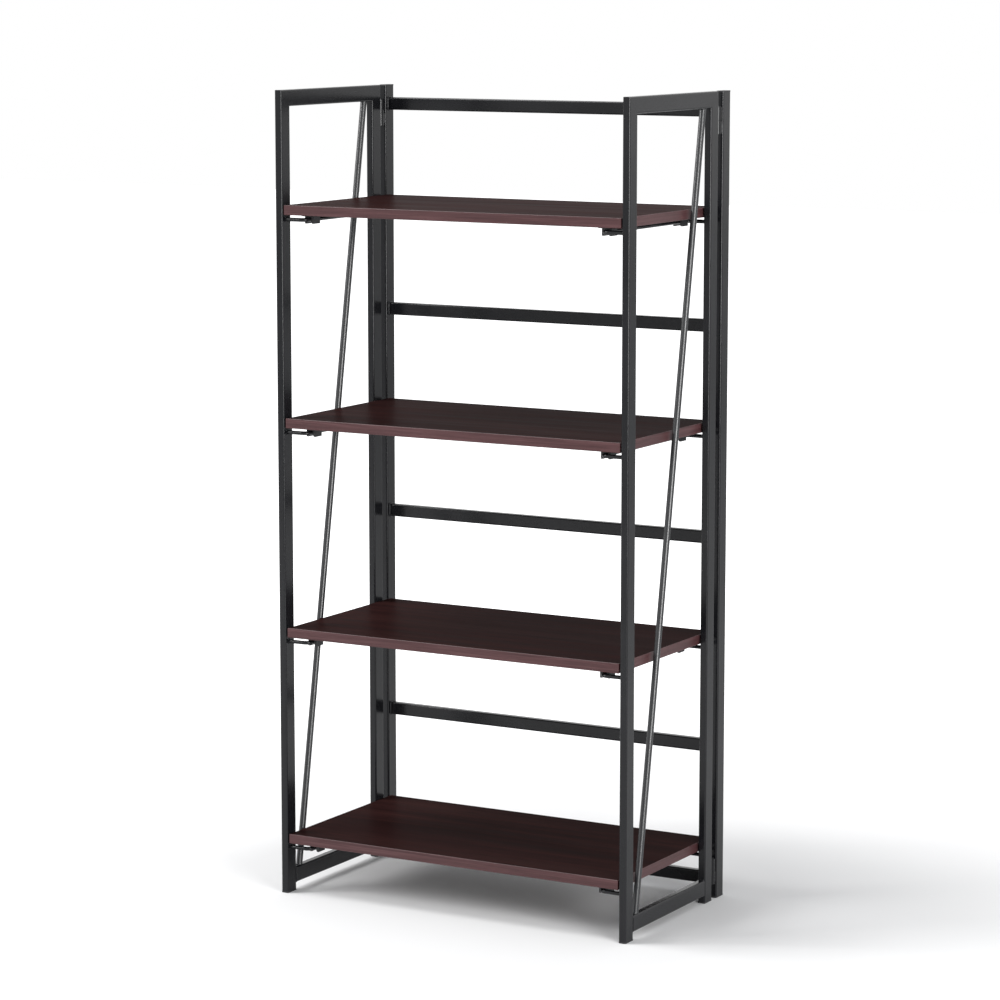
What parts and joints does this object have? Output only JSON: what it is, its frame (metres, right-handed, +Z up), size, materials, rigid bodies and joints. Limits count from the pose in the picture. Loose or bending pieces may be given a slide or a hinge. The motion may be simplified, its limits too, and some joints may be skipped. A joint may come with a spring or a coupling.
{
  "type": "folding bookcase",
  "caption": "Free-standing open bookcase with a coated steel tube rear frame, hinged side frames and dark wood-grain boards on wire brackets.",
  "frame": {"origin": "middle of the footprint, on the floor", "axes": "+X to the viewer's right, +Y towards the rear frame, +Z up"},
  "size_m": [0.608, 0.329, 1.25],
  "materials": {
    "frame_coat": "satin black powder coat",
    "hinge_steel": "black coated steel pin",
    "black_plastic": "moulded matt black plastic",
    "shelf_laminate": "dark espresso wood-grain laminate",
    "shelf_edging": "reddish brown wood-grain edging"
  },
  "bodies": {
    "rear_frame": {"rear_left_upright": "frame_coat", "rear_right_upright": "frame_coat", "rear_rail_1": "frame_coat", "rear_rail_2": "frame_coat", "rear_rail_3": "frame_coat", "rear_rail_4": "frame_coat", "rear_rail_5": "frame_coat", "rear_foot_plugs": "black_plastic", "rear_top_caps": "black_plastic", "left_top_hinge_rear_barrel": "frame_coat", "left_top_hinge_pin": "hinge_steel", "left_bottom_hinge_rear_barrel": "frame_coat", "left_bottom_hinge_pin": "hinge_steel", "right_top_hinge_rear_barrel": "frame_coat", "right_top_hinge_pin": "hinge_steel", "right_bottom_hinge_rear_barrel": "frame_coat", "right_bottom_hinge_pin": "hinge_steel"},
    "left_side_frame": {"left_front_upright": "frame_coat", "left_rear_upright": "frame_coat", "left_top_rail": "frame_coat", "left_bottom_rail": "frame_coat", "left_brace_rod": "frame_coat", "left_foot_plugs": "black_plastic", "left_top_hinge_side_barrel": "frame_coat", "left_bottom_hinge_side_barrel": "frame_coat", "left_shelf_wire_1": "frame_coat", "left_shelf_clips_1": "black_plastic", "left_shelf_wire_2": "frame_coat", "left_shelf_clips_2": "black_plastic", "left_shelf_wire_3": "frame_coat", "left_shelf_clips_3": "black_plastic", "left_shelf_wire_4": "frame_coat", "left_shelf_clips_4": "black_plastic"},
    "right_side_frame": {"right_front_upright": "frame_coat", "right_rear_upright": "frame_coat", "right_top_rail": "frame_coat", "right_bottom_rail": "frame_coat", "right_brace_rod": "frame_coat", "right_foot_plugs": "black_plastic", "right_top_hinge_side_barrel": "frame_coat", "right_bottom_hinge_side_barrel": "frame_coat", "right_shelf_wire_1": "frame_coat", "right_shelf_clips_1": "black_plastic", "right_shelf_wire_2": "frame_coat", "right_shelf_clips_2": "black_plastic", "right_shelf_wire_3": "frame_coat", "right_shelf_clips_3": "black_plastic", "right_shelf_wire_4": "frame_coat", "right_shelf_clips_4": "black_plastic"},
    "shelf_1": {"shelf_1_board": "shelf_laminate", "shelf_1_edging": "shelf_edging"},
    "shelf_2": {"shelf_2_board": "shelf_laminate", "shelf_2_edging": "shelf_edging"},
    "shelf_3": {"shelf_3_board": "shelf_laminate", "shelf_3_edging": "shelf_edging"},
    "shelf_4": {"shelf_4_board": "shelf_laminate", "shelf_4_edging": "shelf_edging"}
  },
  "joints": [
    {"name": "left_side_hinge", "type": "hinge", "parent": "rear_frame", "child": "left_side_frame", "pos_m": [-0.298, 0.132, 0], "axis": [0, 0, -1], "range_deg": [0, 90]},
    {"name": "right_side_hinge", "type": "hinge", "parent": "rear_frame", "child": "right_side_frame", "pos_m": [0.298, 0.132, 0], "axis": [0, 0, 1], "range_deg": [0, 90]},
    {"name": "shelf_1_lift", "type": "slide", "parent": "rear_frame", "child": "shelf_1", "axis": [0, -0.9397, 0.342], "range_m": [0, 0.35]},
    {"name": "shelf_2_lift", "type": "slide", "parent": "rear_frame", "child": "shelf_2", "axis": [0, -0.9397, 0.342], "range_m": [0, 0.35]},
    {"name": "shelf_3_lift", "type": "slide", "parent": "rear_frame", "child": "shelf_3", "axis": [0, -0.9397, 0.342], "range_m": [0, 0.35]},
    {"name": "shelf_4_lift", "type": "slide", "parent": "rear_frame", "child": "shelf_4", "axis": [0, -0.9397, 0.342], "range_m": [0, 0.35]}
  ]
}
